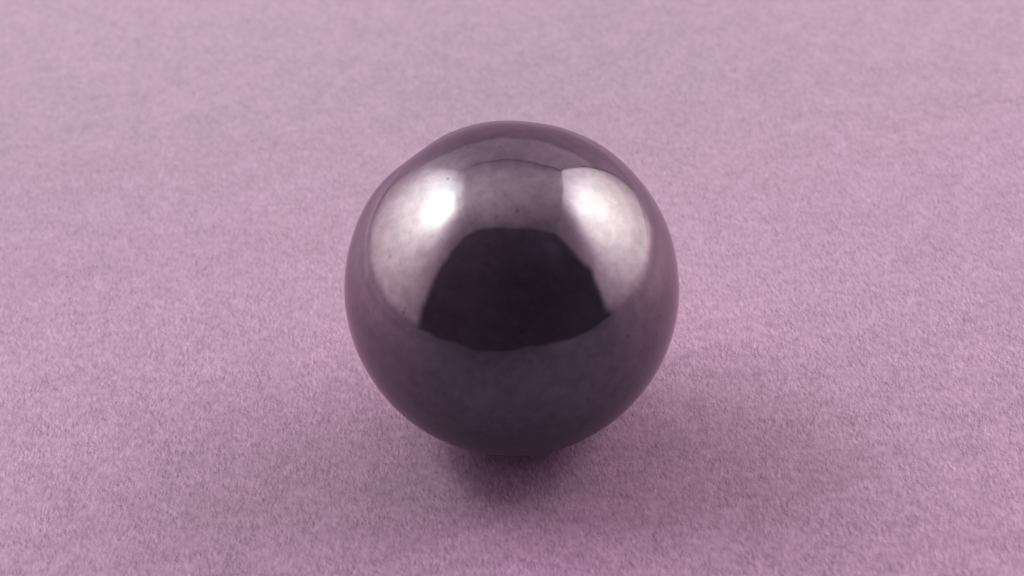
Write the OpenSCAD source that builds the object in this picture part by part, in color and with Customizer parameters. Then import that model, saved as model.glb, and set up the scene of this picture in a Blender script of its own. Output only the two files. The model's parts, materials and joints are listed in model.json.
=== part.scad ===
// Cue ball, coin-table pattern: a light core, two iron-filled cups that a
// ball-return magnet can pull, and one polished casing cast round them.
// The origin is the ball's centre, +Z is up, and the cups meet on the plane z = 0.
// All sizes are millimetres.

/* [Ball] */
// Outside diameter of the finished ball
ball_d = 57.15; // [52.4:0.05:61]
// Depth of the flat patch below the round surface
flat_depth = 0.44; // [0.2:0.02:1.2]
// Tilt of the flat patch away from straight up, in degrees
flat_tilt = 42; // [0:1:90]
// Direction the flat patch faces, in degrees anticlockwise from +X
flat_turn = 141; // [0:1:359]

/* [Iron-filled layer] */
// Diameter over the two cups
cup_d = 40; // [36:0.5:44]
// Wall thickness of each cup
cup_wall = 3; // [2.6:0.1:4]

/* [Rim joint between the cups] */
// Width of the tongue on the lower cup's rim
tongue_w = 1; // [0.6:0.1:1.2]
// Height the tongue stands above the rim
tongue_h = 1; // [0.5:0.1:1.5]
// Glue gap round the tongue
tongue_gap = 0.05; // [0.02:0.01:0.1]

/* [Hidden] */
$fn = 96;
ball_r = ball_d / 2;
cup_r = cup_d / 2;
core_r = cup_r - cup_wall;
tongue_mid_r = core_r + cup_wall / 2;
tongue_root = cup_wall / 4;   // how far the tongue runs down into the lower cup
cut_over = 1;                 // how far a cutter runs past the face it cuts
halving_size = 2 * ball_d;    // side of the cube that cuts a sphere in half

// Everything past the plane of the flat patch
module beyond_flat() {
    rotate([0, flat_tilt, flat_turn])
        translate([-ball_r, -ball_r, ball_r - flat_depth])
            cube([ball_d, ball_d, ball_r]);
}

// The tongue's ring, running `below` under the rim plane. `grow` widens it
// on both sides and raises its top, which turns it into the groove.
module rim_ring(grow, below) {
    ring_h = below + tongue_h + grow;
    half_w = tongue_w / 2 + grow;
    translate([0, 0, -below])
        difference() {
            cylinder(h = ring_h, r = tongue_mid_r + half_w);
            translate([0, 0, -cut_over])
                cylinder(h = ring_h + 2 * cut_over, r = tongue_mid_r - half_w);
        }
}

// Upper half of the iron-filled layer, open towards -Z
module half_layer() {
    difference() {
        sphere(r = cup_r);
        sphere(r = core_r);
        translate([-halving_size / 2, -halving_size / 2, -halving_size])
            cube([halving_size, halving_size, halving_size]);
    }
}

// One-piece cast casing, ground round and polished, with its flat patch
module outer_casing() {
    color([0.17, 0.14, 0.17])
        difference() {
            sphere(r = ball_r);
            sphere(r = cup_r);
            beyond_flat();
        }
}

// Upper iron-filled cup, grooved round its rim
module ferrous_cup_upper() {
    color([0.36, 0.34, 0.33])
        difference() {
            half_layer();
            rim_ring(grow = tongue_gap, below = cut_over);
        }
}

// Lower iron-filled cup, with the tongue that centres the upper one
module ferrous_cup_lower() {
    color([0.42, 0.40, 0.38])
        union() {
            mirror([0, 0, 1]) half_layer();
            rim_ring(grow = 0, below = tongue_root);
        }
}

// Light resin core that the cups close round
module centre_core() {
    color([0.86, 0.80, 0.66])
        sphere(r = core_r);
}

outer_casing();
ferrous_cup_upper();
ferrous_cup_lower();
centre_core();
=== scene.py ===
import json
import math

import bpy
import numpy as np
from mathutils import Matrix, Vector


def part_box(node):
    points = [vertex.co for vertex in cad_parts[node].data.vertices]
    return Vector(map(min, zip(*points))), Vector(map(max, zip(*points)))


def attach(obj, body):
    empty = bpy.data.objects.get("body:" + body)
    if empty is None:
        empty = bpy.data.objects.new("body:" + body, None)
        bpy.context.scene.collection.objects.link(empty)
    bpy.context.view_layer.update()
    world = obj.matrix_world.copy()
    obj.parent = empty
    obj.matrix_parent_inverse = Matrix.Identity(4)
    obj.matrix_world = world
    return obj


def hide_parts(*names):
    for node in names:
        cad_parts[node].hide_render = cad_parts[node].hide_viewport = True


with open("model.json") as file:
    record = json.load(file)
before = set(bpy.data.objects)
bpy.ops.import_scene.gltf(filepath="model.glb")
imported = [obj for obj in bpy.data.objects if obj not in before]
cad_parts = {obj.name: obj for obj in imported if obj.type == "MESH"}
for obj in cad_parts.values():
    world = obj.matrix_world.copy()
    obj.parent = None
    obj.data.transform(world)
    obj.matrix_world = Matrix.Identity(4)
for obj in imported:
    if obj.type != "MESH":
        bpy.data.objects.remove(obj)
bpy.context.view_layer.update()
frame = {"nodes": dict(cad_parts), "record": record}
scene = bpy.context.scene

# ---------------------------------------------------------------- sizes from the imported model
low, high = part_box("outer_casing")
CENTRE = (low + high) / 2
RADIUS = max(high - low) / 2
low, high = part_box("ferrous_cup_lower")
CAVITY_RADIUS = (high.x - low.x) / 2
FLAT = {mount["name"]: mount for mount in frame["record"]["mounts"]}["flat_patch"]
FLAT_NORMAL = Vector(FLAT["axis"]).normalized()
FLAT_DISTANCE = (Vector(FLAT["pos_m"]) - CENTRE).dot(FLAT_NORMAL)   # centre to flat
FLOOR_Z = CENTRE.z - RADIUS

# ---------------------------------------------------------------- the viewing direction
EYE_ELEVATION, EYE_ROLL = math.radians(34.2), math.radians(-4.9)
LENS, SENSOR = 85.0, 36.0                                # focal length and sensor width, mm
BALL_ON_SENSOR = 5.895703125                             # radius of the ball's image, mm
EDGE = math.atan(BALL_ON_SENSOR / LENS)    # the outline lies this far in front of the side-on circle
TO_CAMERA = Vector((0, -math.cos(EYE_ELEVATION), math.sin(EYE_ELEVATION)))
LEVEL_X = Vector((1, 0, 0))                              # camera axes before the roll
LEVEL_Y = Vector((0, math.sin(EYE_ELEVATION), math.cos(EYE_ELEVATION)))
CAMERA_X = math.cos(EYE_ROLL) * LEVEL_X + math.sin(EYE_ROLL) * LEVEL_Y
CAMERA_Y = -math.sin(EYE_ROLL) * LEVEL_X + math.cos(EYE_ROLL) * LEVEL_Y


def outline_direction(degrees):
    """From the centre to the seen outline, at an angle anticlockwise from the camera's right."""
    angle = math.radians(degrees)
    side = math.cos(angle) * CAMERA_X + math.sin(angle) * CAMERA_Y
    return math.cos(EDGE) * side + math.sin(EDGE) * TO_CAMERA


# ---------------------------------------------------------------- node helpers
class Tree:
    """A material under construction. Values may be numbers, sockets or nodes (first output)."""

    def __init__(self, name):
        self.material = bpy.data.materials.new(name)
        self.material.use_nodes = True
        self.tree = self.material.node_tree
        self.tree.nodes.clear()
        self.output = self.node("OutputMaterial")

    def node(self, kind, inputs=None, **props):
        node = self.tree.nodes.new("ShaderNode" + kind)
        for prop, value in props.items():
            setattr(node, prop, value)
        for socket, value in (inputs or {}).items():
            self.put(node.inputs[socket], value)
        return node

    def put(self, socket, value):
        if isinstance(value, bpy.types.Node):
            value = value.outputs[0]
        if isinstance(value, bpy.types.NodeSocket):
            self.tree.links.new(value, socket)
        else:
            socket.default_value = value

    def math(self, operation, first, second=0.0, clamp=False):
        node = self.node("Math", {0: first, 1: second}, operation=operation, use_clamp=clamp)
        return node.outputs[0]

    def add(self, first, second, clamp=False):
        return self.math("ADD", first, second, clamp)

    def minus(self, first, second):
        return self.math("SUBTRACT", first, second)

    def times(self, first, second):
        return self.math("MULTIPLY", first, second)

    def span(self, value, ends, to=(0.0, 1.0), smooth=True):
        """Carries the range `ends` over to the range `to`, held at both ends."""
        return self.node("MapRange", {"Value": value, "From Min": ends[0], "From Max": ends[1],
                                      "To Min": to[0], "To Max": to[1]}, clamp=True,
                         interpolation_type="SMOOTHSTEP" if smooth else "LINEAR").outputs["Result"]

    def noise(self, coords, scale, detail=3.0, rough=0.5, warp=0.0):
        return self.node("TexNoise", {"Vector": coords, "Scale": scale, "Detail": detail,
                                      "Roughness": rough, "Distortion": warp}).outputs["Fac"]

    def cells(self, coords, scale):
        """Distance from the cell's middle, then three random values for the cell."""
        voronoi = self.node("TexVoronoi", {"Vector": coords, "Scale": scale})
        chances = self.node("SeparateColor", {0: voronoi.outputs["Color"]})
        return [voronoi.outputs["Distance"], *chances.outputs]

    def specks(self, coords, scale, above, ends, peak=1.0, channel=1):
        """Round specks, fading between `ends`, in cells whose random value is over `above`."""
        cell = self.cells(coords, scale)
        return self.times(self.math("GREATER_THAN", cell[channel], above),
                          self.span(cell[0], ends, to=(peak, 0.0)))

    def mix(self, factor, first, second):
        return self.node("Mix", {"Factor": factor, "A": first, "B": second},
                         data_type="RGBA").outputs["Result"]

    def coords(self):
        return self.node("TexCoord").outputs["Object"]

    def bump(self, height, distance, strength):
        return self.node("Bump", {"Strength": strength, "Distance": distance,
                                  "Height": height}).outputs["Normal"]

    def finish(self, shader):
        self.put(self.output.inputs["Surface"], shader)
        return self.material


def rgba(red, green, blue):
    return (red, green, blue, 1.0)


# ---------------------------------------------------------------- materials
def casing_material():
    """Dark metallic-lustre casting, mirror polished, with pits, flecks, haze and a little dust."""
    tree = Tree("casing_lustre")
    coords = tree.coords()
    # mottling of the metallic pigment: slow clouds, blotches of 1 to 3 mm, and a fine grain
    cloud = tree.noise(coords, scale=140.0, rough=0.55, warp=0.3)
    blotch = tree.noise(coords, scale=480.0, rough=0.6, warp=0.2)
    fine = tree.noise(coords, scale=1900.0, detail=2.0, rough=0.6)
    tone = tree.add(tree.span(cloud, ends=(0.3, 0.7), to=(-0.045, 0.045)),
                    tree.span(blotch, ends=(0.32, 0.68), to=(-0.10, 0.10)))
    tone = tree.add(tone, tree.span(fine, ends=(0.3, 0.7), to=(-0.03, 0.03)))
    # pits: soft dark specks 0.25 to 0.6 mm across, gathered in loose swarms
    swarm = tree.span(tree.noise(coords, scale=95.0, detail=2.0), ends=(0.38, 0.62), to=(0.12, 0.60))
    distance, chance, size, depth = tree.cells(coords, scale=560.0)
    pitted = tree.math("LESS_THAN", chance, swarm)
    size = tree.span(size, ends=(0.0, 1.0), to=(0.10, 0.30), smooth=False)
    depth = tree.span(depth, ends=(0.0, 1.0), to=(0.25, 1.0), smooth=False)
    pit = tree.times(pitted, tree.span(tree.math("DIVIDE", distance, size),
                                       ends=(0.25, 1.0), to=(1.0, 0.0)))
    pit = tree.times(pit, depth)
    # finer, shallower flecks
    fleck = tree.specks(coords, scale=1700.0, above=0.80, ends=(0.10, 0.36))
    dark = tree.add(tree.times(pit, 0.50), tree.times(fleck, 0.22), clamp=True)
    shade = tree.times(tree.add(1.0, tone), tree.minus(1.0, dark))
    colour = tree.node("VectorMath", {0: (0.134, 0.143, 0.161), "Scale": shade}, operation="SCALE")
    # haze: polish that varies, with a few handling smears; pits are rougher
    smear = tree.span(tree.noise(coords, scale=55.0, detail=5.0, rough=0.6, warp=1.2),
                      ends=(0.45, 0.75))
    roughness = tree.add(0.075, tree.times(smear, 0.03))
    roughness = tree.add(roughness, tree.times(dark, 0.30))
    # surface: pits sink, flecks barely, fine ripple left by polishing
    height = tree.minus(tree.times(blotch, 0.30), tree.times(pit, 0.22))
    height = tree.minus(height, tree.times(fleck, 0.05))
    polished = tree.node("BsdfPrincipled", {
        "Metallic": 1.0, "Base Color": colour, "Roughness": roughness,
        "Normal": tree.bump(height, distance=0.00001, strength=1.0)})
    # dust: very few pale specks, 0.1 to 0.2 mm
    dust = tree.specks(coords, scale=330.0, above=0.975, ends=(0.025, 0.05), peak=0.55, channel=3)
    pale = tree.node("BsdfDiffuse", {"Color": rgba(0.55, 0.50, 0.52)})
    return tree.finish(tree.node("MixShader", {0: dust, 1: polished, 2: pale}))


def ferrous_material():
    """Dull moulded resin packed with iron powder: dark body, bright metal grains."""
    tree = Tree("iron_filled_resin")
    coords = tree.coords()
    body = tree.noise(coords, scale=260.0, detail=5.0, rough=0.6)
    grain = tree.specks(coords, scale=3200.0, above=0.55, ends=(0.25, 0.42))
    base = tree.mix(tree.span(body, ends=(0.3, 0.7)),
                    rgba(0.035, 0.034, 0.033), rgba(0.075, 0.071, 0.067))
    colour = tree.mix(grain, base, rgba(0.33, 0.31, 0.29))
    metallic = tree.times(grain, 0.9)
    roughness = tree.span(body, ends=(0.3, 0.7), to=(0.55, 0.72))
    height = tree.add(tree.times(grain, 0.6), tree.noise(coords, scale=1400.0, rough=0.6))
    return tree.finish(tree.node("BsdfPrincipled", {
        "Base Color": colour, "Metallic": metallic, "Roughness": roughness,
        "Normal": tree.bump(height, distance=0.00004, strength=0.7)}))


def core_material():
    """Light cast resin with faint flow marks and small bubbles."""
    tree = Tree("core_resin")
    coords = tree.coords()
    flow = tree.noise(coords, scale=120.0, detail=6.0, rough=0.55, warp=1.6)
    bubble = tree.specks(coords, scale=700.0, above=0.86, ends=(0.1, 0.22))
    base = tree.mix(tree.span(flow, ends=(0.3, 0.7)), rgba(0.62, 0.50, 0.31), rgba(0.76, 0.66, 0.47))
    colour = tree.mix(bubble, base, rgba(0.42, 0.33, 0.20))
    roughness = tree.span(flow, ends=(0.3, 0.7), to=(0.42, 0.56))
    height = tree.minus(tree.noise(coords, scale=500.0), bubble)
    return tree.finish(tree.node("BsdfPrincipled", {
        "Base Color": colour, "Roughness": roughness,
        "Subsurface Weight": 0.15, "Subsurface Radius": (0.0012, 0.0008, 0.0004),
        "Normal": tree.bump(height, distance=0.00003, strength=0.6)}))


# ---------------------------------------------------------------- the polished casing
def mesh_object(name, points, faces, smooth=False):
    mesh = bpy.data.meshes.new(name)
    mesh.from_pydata(points, [], faces)
    mesh.update()
    if smooth:
        for polygon in mesh.polygons:
            polygon.use_smooth = True
    ob = bpy.data.objects.new(name, mesh)
    scene.collection.objects.link(ob)
    return ob


# outward, first and second direction of each side of the cube
CUBE_SIDES = (((1, 0, 0), (0, 1, 0), (0, 0, 1)), ((-1, 0, 0), (0, -1, 0), (0, 0, 1)),
              ((0, 1, 0), (-1, 0, 0), (0, 0, 1)), ((0, -1, 0), (1, 0, 0), (0, 0, 1)),
              ((0, 0, 1), (0, 1, 0), (-1, 0, 0)), ((0, 0, -1), (0, 1, 0), (1, 0, 0)))


def cube_sphere(steps):
    """Unit directions of a cube-sphere with steps x steps quads a side, shared along the edges,
    and its quads."""
    grid = np.tan(np.linspace(-1, 1, steps + 1) * math.pi / 4)
    index, points, quads = {}, [], []
    for side in CUBE_SIDES:
        outward, first, second = (np.array(axis, float) for axis in side)
        ids = np.zeros((steps + 1, steps + 1), int)
        for i in range(steps + 1):
            for j in range(steps + 1):
                point = outward + grid[i] * first + grid[j] * second
                key = tuple(np.round(point, 7))
                if key not in index:
                    index[key] = len(points)
                    points.append(point / np.linalg.norm(point))
                ids[i, j] = index[key]
        for i in range(steps):
            for j in range(steps):
                quads.append((ids[i, j], ids[i + 1, j], ids[i + 1, j + 1], ids[i, j + 1]))
    return np.array(points), np.array(quads)


def ripple(directions, rng, count, slowest, fastest, slope):
    """A sum of random plane waves over the ball, in metres, each with the same share of the total
    slope. Their rates, slowest to fastest, are in radians per ball radius."""
    height = np.zeros(len(directions))
    for _ in range(count):
        wave = rng.normal(size=3)
        wave *= rng.uniform(slowest, fastest) / np.linalg.norm(wave)
        phase = rng.uniform(0, 2 * math.pi)
        height += np.sin(directions @ wave + phase) / np.linalg.norm(wave)
    return height * slope * RADIUS * math.sqrt(2.0 / count)


# low swellings and hollows on the outline: angle in degrees, height in mm, width in degrees
OUTLINE_SWELLINGS = ((58, 0.170, 13), (101, 0.085, 8), (150, 0.120, 9), (7, -0.100, 9),
                     (213, -0.070, 11), (315, -0.070, 20), (83, -0.070, 6))
FLAT_WEAR = 0.0080 * RADIUS                              # softness of the flat patch's edge
FLAT_REACH = 0.2                                         # least cosine from the flat's axis


def casing():
    """The outer skin with its flat patch, and the wall of the cavity inside it."""
    directions, quads = cube_sphere(steps=116)
    rng = np.random.default_rng(41)
    # hand-finished roundness: slow lobes of a few hundredths of a millimetre, then a fine ripple
    radius = np.full(len(directions), RADIUS)
    radius += ripple(directions, rng, count=10, slowest=2.0, fastest=4.0, slope=0.0008)
    radius += ripple(directions, rng, count=40, slowest=22.0, fastest=60.0, slope=0.0045)
    for degrees, height, width in OUTLINE_SWELLINGS:
        cosine = directions @ np.array(outline_direction(degrees))
        away = np.degrees(np.arccos(np.clip(cosine, -1, 1)))
        radius += 0.001 * height * np.exp(-((away / width) ** 2))
    # the flat patch: a smooth minimum of the ball and the plane
    cosine = directions @ np.array(FLAT_NORMAL)
    plane = np.where(cosine > FLAT_REACH, FLAT_DISTANCE / np.maximum(cosine, FLAT_REACH),
                     10 * RADIUS)
    nearer = np.minimum(radius, plane)
    radius = nearer - FLAT_WEAR * np.log(np.exp(-(radius - nearer) / FLAT_WEAR)
                                         + np.exp(-np.minimum((plane - nearer) / FLAT_WEAR, 60)))
    outer = directions * radius[:, None] + np.array(CENTRE)
    inner_directions, inner_quads = cube_sphere(steps=40)
    inner = inner_directions * CAVITY_RADIUS + np.array(CENTRE)
    faces = np.vstack([quads, inner_quads[:, ::-1] + len(outer)])
    ob = mesh_object("casing_polished", np.vstack([outer, inner]).tolist(), faces.tolist(),
                     smooth=True)
    ob.data.validate()
    return ob


lustre = casing_material()
shell = casing()
shell.data.materials.append(lustre)
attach(shell, "root")
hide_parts("outer_casing")

iron, resin = ferrous_material(), core_material()
for name, material in (("ferrous_cup_upper", iron), ("ferrous_cup_lower", iron),
                       ("centre_core", resin), ("outer_casing", lustre)):
    slots = frame["nodes"][name].data.materials
    slots.clear()
    slots.append(material)

# ---------------------------------------------------------------- the studio
# A light tent: two bright fabric sides, a dim top and back, an open dark front.
# Distances from the ball's centre to the left, right, front and back, and the height from the floor
TENT_L, TENT_R, TENT_F, TENT_B, TENT_H = 15.4, 19.1, 8.6, 25.7, 31.1
TENT_TOP = TENT_H - 1
WIDTH, DEPTH, RISE = (-TENT_L, TENT_R), (-TENT_F, TENT_B), (-1.0, TENT_TOP)
TURN = math.radians(-3.2)                                # of the whole tent about the upright
RAYS = ("camera", "diffuse", "glossy", "transmission", "volume_scatter", "shadow")


def tent_point(x, y, z):
    cos, sin = math.cos(TURN), math.sin(TURN)
    return np.stack([CENTRE.x + RADIUS * (cos * x - sin * y),
                     CENTRE.y + RADIUS * (sin * x + cos * y), CENTRE.z + RADIUS * z], -1)


def stage_for(ob, ray):
    """Stages the object so that only this kind of ray sees it."""
    for kind in RAYS:
        setattr(ob, "visible_" + kind, kind == ray)


def glow_material():
    """Glows with the colour stored at each vertex."""
    # the same glow serves the tent's cloth and the card's painted light and shade
    tree = Tree("tent_glow_and_painted_card_light")
    glow = tree.node("Attribute", attribute_name="glow")
    return tree.finish(tree.node("Emission", {"Color": glow.outputs["Color"]}))


GLOW = glow_material()


def panel(name, range_a, range_b, place, light, steps):
    """A glowing sheet, seen only as a reflection, with two parameters over the given ranges:
    place gives its tent coordinates and light its colour."""
    a_steps, b_steps = steps
    grid = np.meshgrid(np.linspace(*range_a, a_steps + 1), np.linspace(*range_b, b_steps + 1),
                       indexing="ij")
    points = tent_point(*np.broadcast_arrays(*place(*grid))).reshape(-1, 3)
    row = b_steps + 1
    quads = [(i * row + j, (i + 1) * row + j, (i + 1) * row + j + 1, i * row + j + 1)
             for i in range(a_steps) for j in range(b_steps)]
    ob = mesh_object(name, points.tolist(), quads)
    colours = np.ones((len(points), 4), np.float32)
    colours[:, :3] = np.stack(np.broadcast_arrays(*light(*grid)), -1).reshape(-1, 3)
    attribute = ob.data.attributes.new("glow", "FLOAT_COLOR", "POINT")
    attribute.data.foreach_set("color", colours.ravel())
    ob.data.materials.append(GLOW)
    stage_for(ob, "glossy")


# ---- words for shaping light and edges
def soft_step(value, start, stop):
    part = np.clip((value - start) / (stop - start), 0, 1)
    return part * part * (3 - 2 * part)


def hump(value, centre, width):
    return np.exp(-((value - centre) / width) ** 2)


def blobs(x, y, base, spots):
    """A base level plus soft leaning ovals of light. Each spot is
    (peak, middle x, middle y, half-width in x, half-width in y, lean)."""
    level = base
    for peak, x_middle, y_middle, x_half, y_half, lean in spots:
        x_off, y_off = (x - x_middle) / x_half, (y - y_middle) / y_half
        level = level + peak * np.exp(-(x_off * x_off + y_off * y_off + 2 * lean * x_off * y_off))
    return level


def trimmed(light, x, y, x_range, y_range, drift, red, blue):
    """A gentle drift of the level and hue over a panel, with x and y rescaled to -1..1.
    drift holds the factors of a cubic, for 1, y, y2, y3, x, xy, xy2, x2, x2y and x3.
    red and blue hold a constant, a factor for y and a factor for x."""
    x = (x - sum(x_range) / 2) / ((x_range[1] - x_range[0]) / 2)
    y = (y - sum(y_range) / 2) / ((y_range[1] - y_range[0]) / 2)
    powers = [(i, j) for i in range(4) for j in range(4 - i)]
    cubic = sum(factor * x ** i * y ** j for factor, (i, j) in zip(drift, powers))
    level = np.exp(np.clip(cubic, -0.35, 0.35))
    red, blue = (np.exp(np.clip(hue[0] + hue[1] * y + hue[2] * x, -0.12, 0.12))
                 for hue in (red, blue))
    return light[0] * level * red, light[1] * level, light[2] * level * blue


def tint(level):
    """Cloth lit dimly is mauve from the paper; lit brightly it is nearly white."""
    return (level * (0.95 + 0.92 / (1 + level / 2.6)), level,
            level * (0.72 + 0.62 / (1 + level / 2.4)))


def scaled(light, red, green, blue):
    return light[0] * red, light[1] * green, light[2] * blue


def blend(part, first, second):
    return tuple(one * (1 - part) + two * part for one, two in zip(first, second))


# ---- edges: the cloth doesn't hang quite straight
def left_edge(z):
    """y of the left cloth's front edge."""
    return -TENT_F - 0.55 * soft_step(z, 2.5, 5.0) - 0.5 * hump(z, centre=17.0, width=1.6)


def right_edge(z):
    """y of the right cloth's front edge."""
    return -TENT_F - 0.3 + 0.95 * hump(z, centre=9.6, width=2.4)


def top_edge(x):
    """y of the top cloth's front edge."""
    return (-TENT_F + 0.75 * soft_step(-x, -4.0, 2.0) - 1.1 * soft_step(-x, 9.5, TENT_L)
            + 0.6 * hump(x, centre=9.3, width=1.6))


def card_edge(x):
    """y of the card's front edge: cut back on the right, with the left corner and two tabs
    reaching out."""
    y = -9.2 + 3.55 * hump(x, centre=11.45, width=6.2) - 2.5 * soft_step(-x, 9.0, 16.5)
    y = y - 2.8 * soft_step(x, -9.0, -8.2) * (1 - soft_step(x, -8.6, -3.2))
    return y - 3.2 * soft_step(x, -0.4, 2.0) * (1 - soft_step(x, 0.8, 8.5))


def left_foot(y):
    """How high the card curls up against the left cloth."""
    return -0.16 + 0.4 * soft_step(y, -3.0, 1.0)


# the same on the right: y, and the height there
RIGHT_FOOT = ((-4, 0.5, 4, 8, 12, 17, 21, 24), (-0.1, 0.1, -0.4, -0.65, -0.2, 0.05, -0.5, -0.9))

# ---- how brightly each sheet glows; spots are laid out as in blobs()
DUSK = (0.19, 0.10, 0.155)                               # the last light on a front edge
FLOOR_SPOTS = (
    (0.575, -12.7, 7.5, 5.9, 13.2, -0.03), (1.439, 18.9, 10.0, 9.5, 9.6, -0.42),
    (0.292, -5.4, 2.2, 3.0, 5.4, 0.12), (0.308, 5.0, 2.0, 2.5, 2.5, -0.24),
    (0.42, 19.1, -2.0, 2.8, 6.5, 0.0), (-0.24, 11.0, 10.5, 4.0, 4.0, 0.0),
    (0.05, 3.8, -6.7, 1.7, 2.2, 0.0), (-0.05, 8.0, -4.7, 2.2, 1.6, 0.0),
    (0.04, 14.5, -2.3, 3.0, 1.5, 0.0), (0.06, 2.2, 5.0, 1.6, 1.5, 0.0),
    (0.07, -14.5, 3.0, 2.0, 5.0, 0.0), (0.05, -9.3, 4.9, 1.8, 1.2, 0.0),
    (-0.05, -7.8, 7.7, 1.6, 1.5, 0.0), (-0.03, 3.9, 2.8, 1.0, 1.0, 0.0),
    (0.016, 2.2, -0.4, 1.0, 0.8, 0.0), (0.024, -2.6, -0.2, 1.1, 0.9, 0.0),
    (0.018, 6.3, -0.2, 1.5, 1.2, 0.0))
LEFT_SPOTS = (
    (9.8, 5.1, 21.4, 4.4, 5.9, -0.40), (2.64, 4.6, 12.1, 8.9, 9.9, -0.22),
    (4.9, 12.7, 22.1, 10.9, 15.3, 0.04), (-0.12, -0.5, 25.5, 2.5, 3.5, 0.0),
    (-0.07, -3.6, 1.4, 1.6, 1.5, 0.0), (0.16, 1.4, 6.5, 1.8, 2.0, 0.0),
    (-0.18, 17.0, 15.6, 3.0, 4.0, 0.0))
RIGHT_SPOTS = (
    (2.32, 3.2, 17.1, 4.2, 5.5, -0.76), (3.18, 12.0, 4.5, 12.9, 18.9, -0.85),
    (4.6, 8.6, 16.8, 7.5, 10.8, -0.45), (-1.38, 5.7, 0.9, 11.3, 4.5, -0.46),
    (-0.5, 10.5, 12.8, 2.8, 3.5, 0.0), (0.09, -3.0, 28.0, 4.0, 3.0, 0.0),
    (0.45, 0.3, 18.3, 1.5, 2.2, 0.0), (0.15, -7.3, 6.0, 1.5, 2.0, 0.0),
    (0.07, 3.8, 5.0, 4.0, 2.2, 0.0), (0.08, 6.3, -0.7, 2.0, 1.5, 0.0))
TOP_SPOTS = (
    (1.40, -20.5, 12.3, 40.0, 16.6, 0.24), (2.77, -14.7, 11.5, 1.6, 8.4, 0.09),
    (0.55, 19.1, 18.0, 5.0, 9.0, 0.0), (0.09, -5.0, -1.0, 4.5, 6.0, 0.0),
    (0.12, 10.5, 14.0, 5.0, 7.0, 0.0), (-0.09, 2.3, 12.5, 3.5, 5.5, 0.0),
    (0.12, -10.0, 7.0, 4.0, 4.0, 0.0), (0.12, 18.5, -7.5, 4.0, 3.5, 0.0),
    (0.12, -13.5, -8.0, 3.0, 2.0, 0.0))
BACK_SPOTS = ((0.48, -17.3, 19.5, 6.7, 12.8, -0.30),)


def floor_light(x, y):
    """The mauve card as the ball mirrors it, a glowing sheet with its light and shade painted in:
    lit from both sides, with a painted shadow at the ball's foot.
    """
    level = blobs(x, y, base=0.112, spots=FLOOR_SPOTS)
    level = level + 0.13 * np.clip((y - 5.0) / 4.0, 0, 1)
    # painted shadow of the ball on the card, round its foot
    level = level * (1 - 0.96 * np.exp(-(x * x + (y + 0.14) ** 2) / 1.01 ** 2))
    redder = 1 + 0.07 * hump(y, centre=0.6, width=1.8) - 0.045 * soft_step(y, 2.5, 5.0)
    light = (level * (1.84 - 0.15 * np.clip((level - 0.6) / 0.6, 0, 1)) * redder, level,
             level * (1.08 + 0.56 * np.exp(-level / 0.65)))
    # the drift is finer near the ball
    return trimmed(light, np.arcsinh(x / 4) / math.asinh(TENT_R / 4),
                   np.arcsinh(y / 4) / math.asinh(TENT_B / 4), (-1, 1), (-1, 1),
                   drift=(0.07, 0.16, -0.03, -0.15, -0.08, 0.03, 0.03, -0.01, -0.03, 0.09),
                   red=(-0.02, 0.03, -0.01), blue=(0.014, 0.012, -0.025))


def left_light(y, z):
    cloth = tint(blobs(y, z, base=0.28, spots=LEFT_SPOTS))
    cloth = trimmed(cloth, y, z, DEPTH, RISE,
                    drift=(-0.02, -0.02, 0.12, -0.11, -0.05, 0.01, -0.06, 0.03, 0.04, 0.08),
                    red=(-0.02, -0.03, -0.03), blue=(0.02, 0.02, 0.035))
    foot = left_foot(y)
    cloth = blend(soft_step(z, foot - 1.0, foot + 1.0), floor_light(-TENT_L, y), cloth)
    return blend(soft_step(y - left_edge(z), -1.0, 0.75), DUSK, cloth)


def right_light(y, z):
    cloth = tint(np.maximum(blobs(y, z, base=0.39, spots=RIGHT_SPOTS), 0.15))
    cloth = trimmed(cloth, y, z, DEPTH, RISE, drift=(0,) * 10,
                    red=(-0.01, -0.009, -0.02), blue=(0.017, 0.038, -0.014))
    foot = np.interp(y, *RIGHT_FOOT)
    soft = 0.25 + 0.7 * (1 - soft_step(y, -2.0, 7.0))
    cloth = blend(soft_step(z, foot - soft, foot + soft), floor_light(TENT_R, y), cloth)
    return blend(soft_step(y - right_edge(z), -1.0, 0.8), DUSK, cloth)


def top_light(x, y):
    cloth = scaled(tint(blobs(x, y, base=0.0, spots=TOP_SPOTS)), red=0.89, green=0.95, blue=0.96)
    cloth = trimmed(cloth, x, y, WIDTH, DEPTH,
                    drift=(0.03, -0.03, 0.04, 0.13, 0.06, 0.15, 0.13, 0.10, 0.07, 0.01),
                    red=(0.02, -0.014, 0.0), blue=(0.013, 0.017, -0.012))
    return blend(soft_step(y - top_edge(x), -0.7, 0.75), DUSK, cloth)


def back_light(x, z):
    """Cloth above, and below it the card, which is curved up behind, with the card's light painted
    into its glow.
    """
    cloth = scaled(tint(blobs(x, z, base=0.60, spots=BACK_SPOTS)), red=1.0, green=1.05, blue=1.12)
    level = 0.33 + np.where(x < 0, 0.22 * np.abs(x / 15.0), 0.05) * (x / 15.0) ** 2
    card_top = 11.5 - 3.5 * soft_step(-x, 9.0, TENT_L)
    card = blend(soft_step(z, -1.0, 8.0), floor_light(x, TENT_B),
                 (1.80 * level, level, 1.42 * level))
    light = blend(1.0 / (1.0 + np.exp(-(z - card_top) / 0.35)), card, cloth)
    light = trimmed(light, x, z, WIDTH, RISE,
                    drift=(0.0, 0.02, 0.05, -0.10, 0.18, 0.0, 0.02, 0.25, -0.15, -0.19),
                    red=(0.018, 0.008, 0.04), blue=(0.009, -0.028, -0.026))
    return scaled(light, red=1.0, green=1.0, blue=1.0 - 0.07 * soft_step(-x, 9.0, 14.0))


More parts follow.
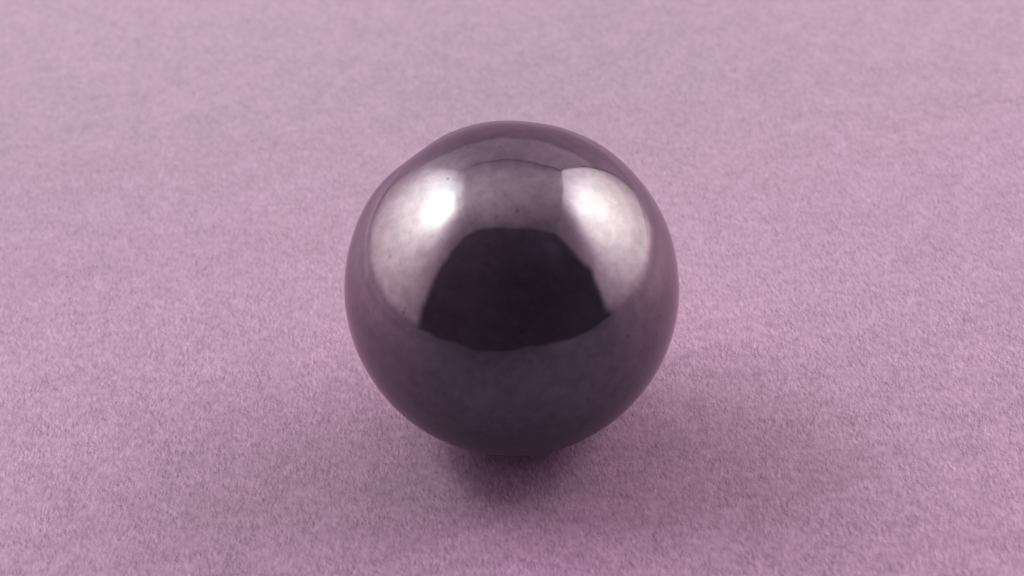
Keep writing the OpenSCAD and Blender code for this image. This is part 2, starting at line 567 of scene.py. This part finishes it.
# ---- the sheets
def floor_place(angle, out):
    """An angle round the foot of the ball, and steps outwards that are finer near the ball."""
    away = 0.02 + 34.0 * out ** 2.6
    x, y = np.clip(away * np.cos(angle), -TENT_L, TENT_R), away * np.sin(angle)
    return x, np.clip(y, card_edge(x), TENT_B + 6), -1.0


def side_panel(name, x, edge, back, light, steps):
    """A side cloth from just past its front edge to the back, and up from its foot, in finer
    steps near both."""
    def place(along, up):
        z = -1.0 + TENT_H * up ** 1.5
        y = edge(z) - 1.0
        return x, y + (back - y) * along ** 1.5, z
    panel(name, (0, 1), (0, 1), place, lambda along, up: light(*place(along, up)[1:]), steps)


def top_place(across, along):
    x = -TENT_L + (TENT_L + TENT_R) * across
    y = top_edge(x) - 0.7
    return x, y + (TENT_B - y) * along ** 1.5, TENT_TOP


def back_place(x, z):
    """The back cloth hangs further back on the right, most of all low down, and forward on the
    left."""
    sag = (0.8 + 2.3 * (1 - ((z + 1) / TENT_H) ** 2)) * (0.5 + 0.5 * soft_step(z, -1.0, 5.0))
    return x, TENT_B + sag * soft_step(x, 7.0, TENT_R) - 1.0 * soft_step(-x, 6.0, TENT_L), z


LIP = 0.9                                                # reach of the strip along the card's edge
SEAM = 0.45                                              # half-width of a seam


def lip_light(x, out):
    # the card's lip glows with painted light, brightest at the edge
    level = 0.065 + 0.075 * (1 - out / LIP) ** 2
    return 1.8 * level, 1.0 * level, 1.5 * level


panel("floor_mirrored", (0, 2 * math.pi), (0, 1), floor_place,
      lambda angle, out: floor_light(*floor_place(angle, out)[:2]), steps=(144, 90))
panel("edge_card", WIDTH, (0, LIP), lambda x, out: (x, card_edge(x) - out, -1.0 - 0.1 * out),
      lip_light, steps=(96, 6))
side_panel("tent_left", -TENT_L, left_edge, TENT_B, left_light, steps=(64, 64))
side_panel("tent_right", TENT_R, right_edge, TENT_B + 7, right_light, steps=(72, 64))
panel("tent_top", (0, 1), (0, 1), top_place,
      lambda across, along: top_light(*top_place(across, along)[:2]), steps=(64, 64))
panel("tent_back", WIDTH, RISE, back_place, back_light, steps=(60, 60))
# the seams where the back meets the top and the right side
panel("seam_top", WIDTH, (-SEAM, SEAM),
      lambda x, out: (x, TENT_B - SEAM + out * 0.5, TENT_H - 1.45 - out * 0.5),
      lambda x, out: (0.34, 0.22, 0.34), steps=(24, 24))
panel("seam_right", RISE, (-SEAM, SEAM),
      lambda z, out: (TENT_R - SEAM - out * 0.5, back_place(TENT_R, z)[1] - SEAM + out * 0.5, z),
      lambda z, out: (0.36, 0.23, 0.34), steps=(24, 24))

# ---------------------------------------------------------------- the card the camera sees
PAPER_TONE = (0.42, 0.27, 0.375)                         # mauve
# soft changes of tone, painted shade and light: a faint shadow behind the ball and a lighter patch
# to its left; gain, then middle x and y and half-widths in x and y, in ball radii
PAINTED_SHADE_AND_LIGHT = ((-0.06, 0.5, 4.4, 1.6, 1.5), (0.08, -3.2, 0.0, 1.0, 1.4))


def paper_material():
    """Mauve card with a fine grain, painted shading on the grain's ridges, and painted patches of
    shade and light.
    """
    tree = Tree("mauve_card")
    coords = tree.coords()
    x, y, _ = tree.node("SeparateXYZ", {0: coords}).outputs
    away = tree.math("SQRT", tree.add(tree.times(x, x), tree.times(y, y)))
    # painted shade tint: pinker towards the front and close round the ball, where the card lies in
    # shade
    shade_tint = tree.add(
        tree.span(y, ends=(4.0 * RADIUS, -1.6 * RADIUS), to=(-1.0, 1.0), smooth=False),
        tree.span(away, ends=(2.4 * RADIUS, 1.0 * RADIUS), to=(0.0, 0.9)))
    plain, pink = (rgba(*(tone * gain for tone, gain in zip(PAPER_TONE, gains)))
                   for gains in ((0.94, 1.0, 0.955), (1.07, 1.0, 1.045)))
    hue = tree.mix(tree.span(shade_tint, ends=(-1.0, 1.0), smooth=False), plain, pink)
    colour = tree.node("VectorMath", {0: hue}, operation="SCALE")
    # painted shading of the grain: tiny ridges lit from the side, painted into the colour as the
    # same noise twice, a little apart
    drawn = tree.node("VectorMath", {0: coords, 1: (1.0, 0.5, 1.0)}, operation="MULTIPLY")
    shifted = tree.node("VectorMath", {0: drawn, 1: (0.00022, 0.00004, 0.0)}, operation="ADD")
    ridge_shade = tree.minus(tree.noise(drawn, scale=1700.0, rough=0.6),
                        tree.noise(shifted, scale=1700.0, rough=0.6))
    patch = tree.span(tree.noise(coords, scale=260.0, detail=2.0),
                      ends=(0.35, 0.65), to=(0.68, 1.22))
    ridge_shade = tree.times(ridge_shade, patch)
    fibre = tree.noise(coords, scale=620.0, detail=4.0, rough=0.6)
    soft = tree.noise(coords, scale=150.0)
    tone = tree.add(tree.times(ridge_shade, 1.4),
                    tree.span(fibre, ends=(0.3, 0.7), to=(-0.17, 0.17), smooth=False))
    tone = tree.add(tone, tree.span(soft, ends=(0.3, 0.7), to=(-0.06, 0.06), smooth=False))
    # the grain is stronger towards the front
    tone = tree.add(1.0, tree.times(tone, tree.span(
        y, ends=(3.5 * RADIUS, -2.5 * RADIUS), to=(0.74, 1.10), smooth=False)))
    # painted shade and light: the card darkened behind the ball, lightened to its left
    for gain, x_middle, y_middle, x_half, y_half in PAINTED_SHADE_AND_LIGHT:
        x_off = tree.math("DIVIDE", tree.minus(x, x_middle * RADIUS), x_half * RADIUS)
        y_off = tree.math("DIVIDE", tree.minus(y, y_middle * RADIUS), y_half * RADIUS)
        far = tree.add(tree.times(x_off, x_off), tree.times(y_off, y_off))
        fade = tree.math("POWER", math.e, tree.times(far, -1.0))
        tone = tree.times(tone, tree.add(1.0, tree.times(gain, fade)))
    tree.put(colour.inputs["Scale"], tone)
    card = tree.node("BsdfDiffuse", {
        "Color": colour, "Normal": tree.bump(fibre, distance=0.0002, strength=0.7)})
    # far from the ball the sheet glows, so that it stays pale and even past the lights
    glow = tree.node("Emission", {"Color": rgba(0.585, 0.405, 0.54), "Strength": tone})
    glowing = tree.span(away, ends=(5.0 * RADIUS, 11.0 * RADIUS))
    return tree.finish(tree.node("MixShader", {0: glowing, 1: card, 2: glow}))


FLAT_REACH_OUT, CURVE, WALL = 1.1, 0.8, 2.6              # flat radius, bend radius, height, metres


def backdrop():
    """The card: flat round the ball, then curved up all round, far away."""
    segments = 96
    rim = FLAT_REACH_OUT + CURVE
    profile = [(0.02, 0.0), (0.3, 0.0), (FLAT_REACH_OUT, 0.0)]
    profile += [(FLAT_REACH_OUT + CURVE * math.sin(bend), CURVE * (1 - math.cos(bend)))
                for bend in np.linspace(0.05, math.pi / 2, 24)]
    profile += [(rim, WALL)]
    points = [(CENTRE.x, CENTRE.y, FLOOR_Z)]
    for away, height in profile:
        for k in range(segments):
            angle = 2 * math.pi * k / segments
            points.append((CENTRE.x + away * math.cos(angle), CENTRE.y + away * math.sin(angle),
                           FLOOR_Z + height))
    faces = [(0, 1 + k, 1 + (k + 1) % segments) for k in range(segments)]
    for i in range(len(profile) - 1):
        for k in range(segments):
            here, after = 1 + i * segments + k, 1 + i * segments + (k + 1) % segments
            faces.append((here, here + segments, after + segments, after))
    ob = mesh_object("card", points, faces, smooth=True)
    ob.data.materials.append(paper_material())
    stage_for(ob, "camera")


backdrop()

# ---------------------------------------------------------------- lights on the card
CLEAR, MAUVE = (1.25, 1.15), (2.0, 1.8)                  # red and blue against green
# name, centre, two half-sides, facing, level left on the card, that light's red and blue
# against green; all in tent coordinates
SOFT_LIGHTS = (
    ("soft_left_key", (-TENT_L, 6.1, 21), (0, 4.5, 0), (0, 0, 5.5), (1, 0, 0), 2.62, (1.61, 1.38)),
    ("soft_left_fill", (-TENT_L, 10, 14), (0, 13, 0), (0, 0, 14), (1, 0, 0), 0.435, (1.75, 1.66)),
    ("soft_left_back", (-TENT_L, 18, 18), (0, 6, 0), (0, 0, 10), (1, 0, 0), 1.52, CLEAR),
    ("soft_right_key", (TENT_R, 7, 17), (0, 6, 0), (0, 0, 7), (-1, 0, 0), 1.21, (1.46, 1.15)),
    ("soft_right_fill", (TENT_R, 11, 14), (0, 13, 0), (0, 0, 14), (-1, 0, 0), 0.645, MAUVE),
    ("soft_right_back", (TENT_R, 18, 18), (0, 6, 0), (0, 0, 10), (-1, 0, 0), 0.456, CLEAR),
    ("soft_top_back", (2, 18, TENT_TOP), (17, 0, 0), (0, 7.5, 0), (0, 0, -1), 0.70, CLEAR),
    ("soft_top_mid", (2, 5, TENT_TOP), (17, 0, 0), (0, 5.5, 0), (0, 0, -1), 0.168, MAUVE),
    ("soft_back", (2, TENT_B, 20), (17, 0, 0), (0, 0, 9), (0, -1, 0), 0.105, CLEAR))


def tent_vector(x, y, z):
    return Vector(tent_point(x, y, z)) - Vector(tent_point(0, 0, 0))


def add_to_scene(name, data, axes, position):
    """Links a light or camera that has these x, y and z axes."""
    ob = bpy.data.objects.new(name, data)
    scene.collection.objects.link(ob)
    matrix = Matrix(axes).transposed().to_4x4()
    matrix.translation = position
    ob.matrix_world = matrix
    return ob


def soft_light(name, centre, half_side, other_half, facing, level, ratio):
    """A soft box that lights the card but isn't mirrored in the ball."""
    side, other = tent_vector(*half_side), tent_vector(*other_half)
    light = bpy.data.lights.new(name, "AREA")
    light.shape = "RECTANGLE"
    light.size, light.size_y = 2 * side.length, 2 * other.length
    red, green, blue = PAPER_TONE
    light.energy = level / green * math.pi * light.size * light.size_y
    light.color = (ratio[0] * green / red, 1.0, ratio[1] * green / blue)
    z = -tent_vector(*facing).normalized()
    x = side.normalized()
    ob = add_to_scene(name, light, (x, z.cross(x), z), Vector(tent_point(*centre)))
    ob.visible_camera = False
    ob.visible_glossy = False


for row in SOFT_LIGHTS:
    soft_light(*row)


# ---------------------------------------------------------------- the dark room past the front
def room_light(turn, rise):
    """Degrees to the right of straight ahead, and degrees up, both from the ball."""
    up, side = np.sin(np.radians(rise)), np.sin(np.radians(turn))
    level = 0.057 + 0.045 * np.clip((up - 0.60) / 0.35, 0, 1) + 0.022 * soft_step(side, 0.35, 0.9)
    level = level + 0.05 * np.clip(-side / 0.8, 0, 1) * (0.6 + 0.4 * soft_step(up, 0.1, 0.5))
    # a faint far lamp
    level = level + 0.045 * np.exp(-((turn - 51) / 7.0) ** 2 - ((rise - 50) / 7.0) ** 2)
    left = soft_step(-side, -0.8, 0.8)
    return (1.69 + 0.18 * left) * level, level, (1.60 - 0.17 * left) * level


def room_place(turn, rise):
    turn, rise = np.radians(turn), np.radians(rise)
    far = 60.0
    return (far * np.sin(turn) * np.cos(rise), -far * np.cos(turn) * np.cos(rise),
            far * np.sin(rise))


panel("room_front", (-110, 110), (-12, 90), room_place, room_light, steps=(88, 68))

world = bpy.data.worlds.new("room")
scene.world = world
world.use_nodes = True
world.node_tree.nodes["Background"].inputs["Color"].default_value = rgba(0.0, 0.0, 0.0)

# ---------------------------------------------------------------- camera
distance = RADIUS / math.sin(EDGE)
camera = bpy.data.cameras.new("camera")
camera.lens, camera.sensor_width, camera.sensor_fit = LENS, SENSOR, "HORIZONTAL"
camera.shift_x, camera.shift_y = 0.00009765625, 0.000361328125
camera.clip_start, camera.clip_end = 0.01, 10.0
camera.dof.use_dof = True
camera.dof.focus_distance = distance + 0.6 * RADIUS
camera.dof.aperture_fstop = 20.0
scene.camera = add_to_scene("camera", camera, (CAMERA_X, CAMERA_Y, TO_CAMERA),
                            CENTRE + TO_CAMERA * distance)

scene.view_settings.view_transform = "Standard"
scene.view_settings.look = "None"
scene.view_settings.exposure = 0.0
scene.view_settings.gamma = 1.0
